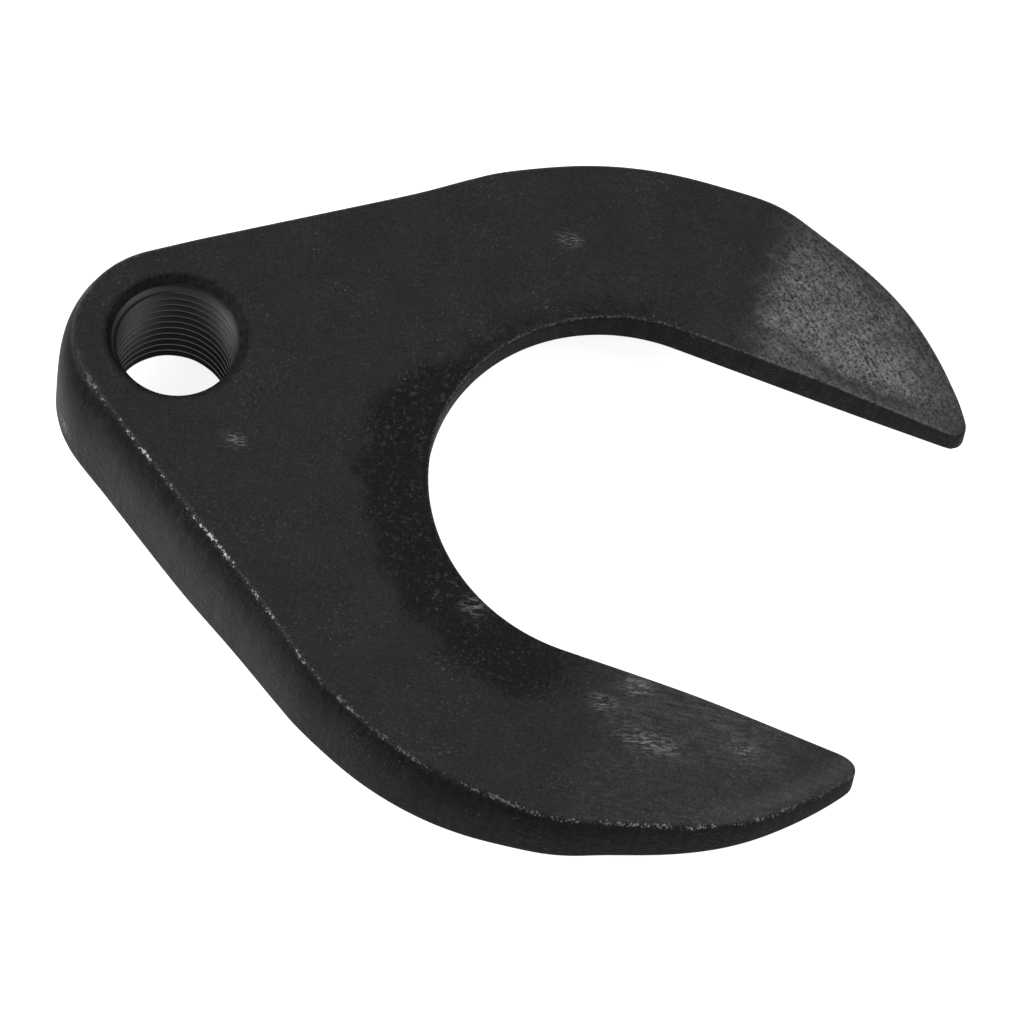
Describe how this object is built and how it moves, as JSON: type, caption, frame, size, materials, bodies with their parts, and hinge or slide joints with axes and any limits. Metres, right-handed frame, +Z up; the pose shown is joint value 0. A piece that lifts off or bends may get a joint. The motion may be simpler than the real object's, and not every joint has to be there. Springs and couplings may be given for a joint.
{
  "type": "slide hammer puller fork",
  "caption": "Forged steel C-shaped puller fork: a threaded eye for a slide hammer rod, a tapering neck and two ground-tipped prongs around a U slot, bevelled underneath.",
  "frame": {"origin": "bottom centre of the bounding box of the fork as it lies on a bench, on the heel of its neck and its two tips", "axes": "+X from the eye to the prong tips, +Y across the fork, +Z up from the bench; the top face and the bore lean 7.6 degrees towards +X from +Z"},
  "size_m": [0.1092, 0.0912, 0.022],
  "materials": {
    "blackened_steel": "black oxide over a forged and blasted surface, worn bright along the edges and ground on the prong tips"
  },
  "bodies": {
    "root": {"puller_fork": "blackened_steel"}
  },
  "joints": []
}
